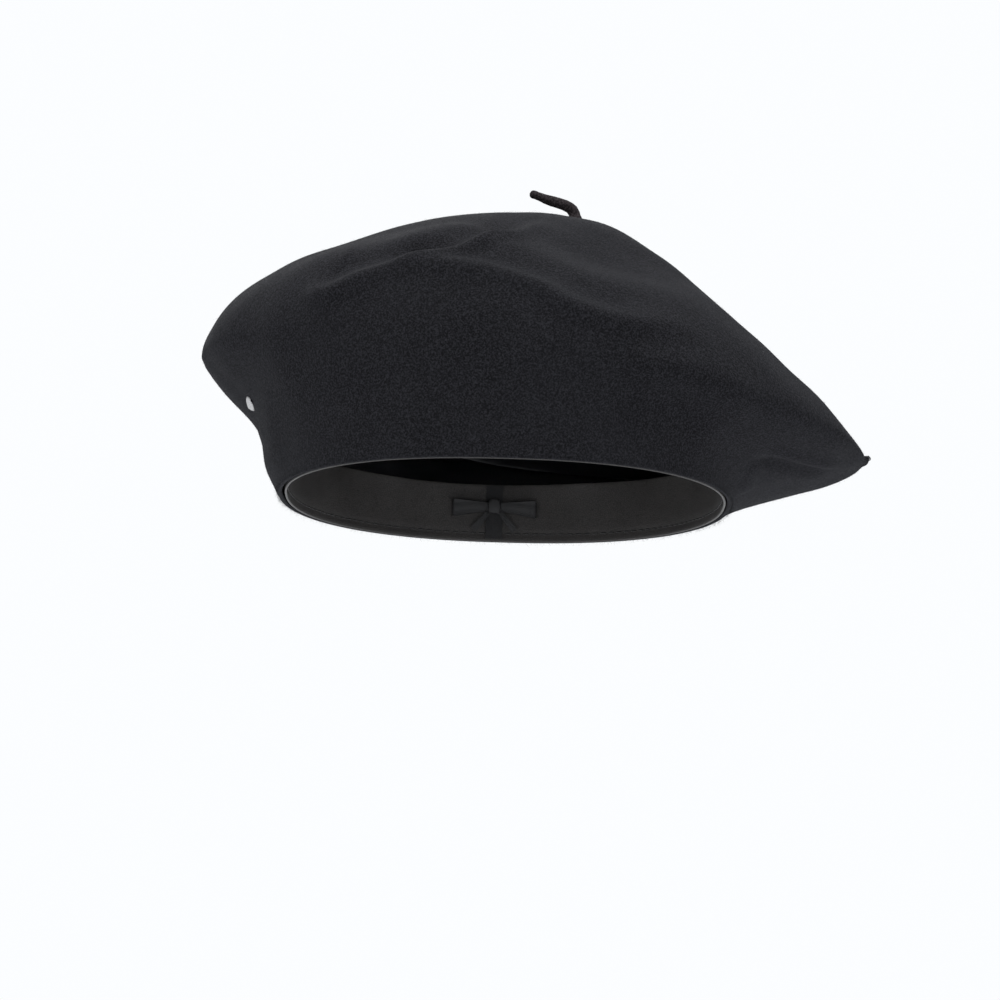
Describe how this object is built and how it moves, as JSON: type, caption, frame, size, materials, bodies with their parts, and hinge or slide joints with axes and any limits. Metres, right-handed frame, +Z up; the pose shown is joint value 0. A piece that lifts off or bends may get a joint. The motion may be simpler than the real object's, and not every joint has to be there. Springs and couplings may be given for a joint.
{
  "type": "beret",
  "caption": "Lined black wool-felt beret, shaped as worn: tall front, disc drooping to the wearer's left, a bent stalk on the crown and a leather sweatband.",
  "frame": {"origin": "centre of the head opening, on the plane of the hem", "axes": "-Y is the front, over the forehead; +X is the wearer's left; +Z is up, through the crown"},
  "size_m": [0.2595, 0.2423, 0.1293],
  "materials": {
    "wool_felt": "brushed nap",
    "stalk_felt": "firm felt",
    "sweatband_leather": "fine grain",
    "lining_satin": "satin",
    "ribbon": "ribbed",
    "black_thread": "twisted",
    "label_cloth": "woven",
    "label_thread": "twisted",
    "label_satin": "satin",
    "mark_thread": "embroidered"
  },
  "bodies": {
    "hat": {"felt_shell": "wool_felt", "stalk_root": "stalk_felt", "stalk_knot": "stalk_felt", "sweatband": "sweatband_leather", "sweatband_join": "ribbon", "bow_ribbon": "ribbon", "bow_knot": "ribbon", "hem_stitches": "black_thread", "lining_side": "lining_satin", "lining_tip": "lining_satin", "crown_label": "label_cloth", "crown_label_stitches": "label_thread", "size_label": "label_satin", "size_label_stitches": "label_thread", "side_mark": "mark_thread"},
    "stalk": {"stalk": "stalk_felt"},
    "care_label": {"care_label": "label_satin"}
  },
  "joints": [
    {"name": "stalk_bend", "type": "hinge", "parent": "hat", "child": "stalk", "pos_m": [0.025, 0.025, 0.1206], "axis": [0, 1, 0], "range_deg": [-20, 70], "stiffness_Nm_per_rad": 0.0005},
    {"name": "care_label_flip", "type": "hinge", "parent": "hat", "child": "care_label", "pos_m": [0.07462, -0.04777, 0.023], "axis": [0.3788, 0.9255, 0], "range_deg": [0, 110]}
  ]
}
